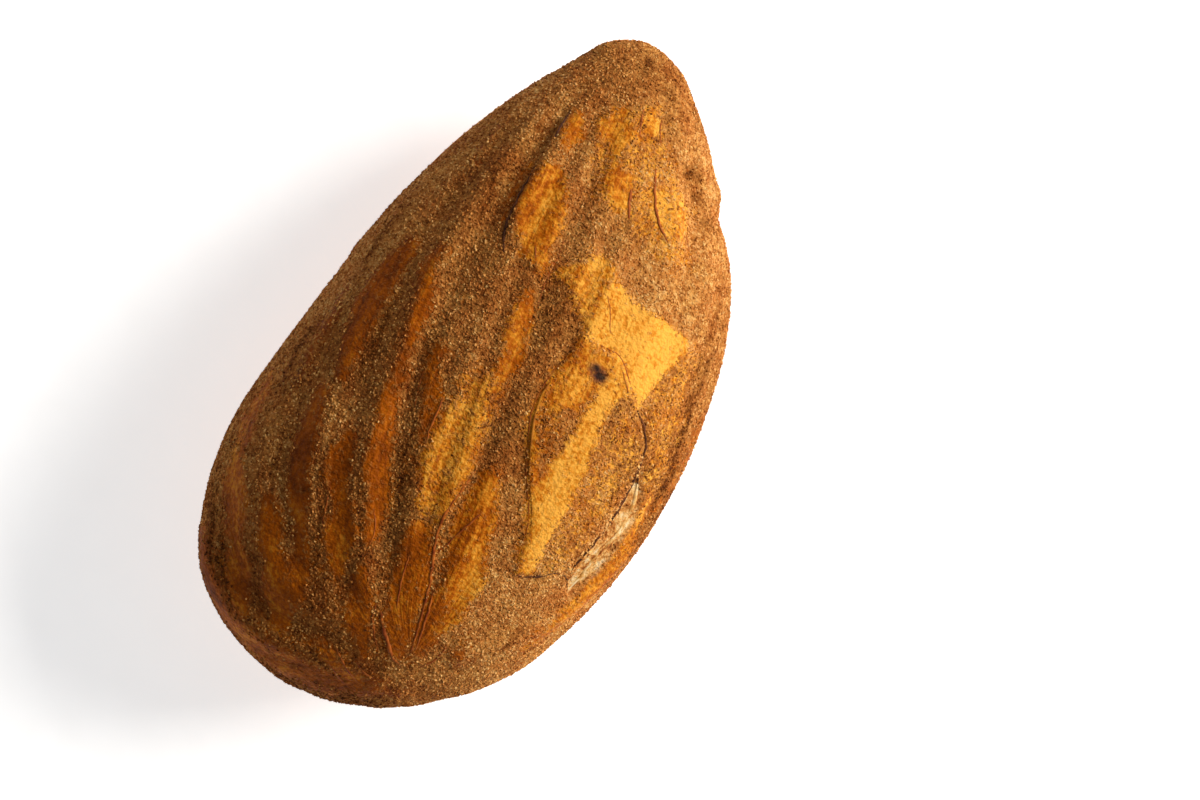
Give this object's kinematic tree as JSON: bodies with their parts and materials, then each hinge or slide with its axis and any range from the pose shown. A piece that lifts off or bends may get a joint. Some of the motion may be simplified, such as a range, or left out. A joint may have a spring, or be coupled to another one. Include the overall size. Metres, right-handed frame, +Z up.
{
  "type": "almond kernel",
  "caption": "Whole shelled almond kernel in its brown seed coat, a flattened drop with lengthwise ribs, resting on its broad back.",
  "frame": {"origin": "centre of the plan outline, on the surface that the kernel rests on", "axes": "+Y along the kernel to its pointed tip, +X across its width, +Z up through its front face"},
  "size_m": [0.0134, 0.0235, 0.009],
  "materials": {
    "seed_coat": "dry brown seed coat, matt and scurfy, with amber patches and dark veins"
  },
  "bodies": {
    "root": {"almond_kernel": "seed_coat"}
  },
  "joints": []
}
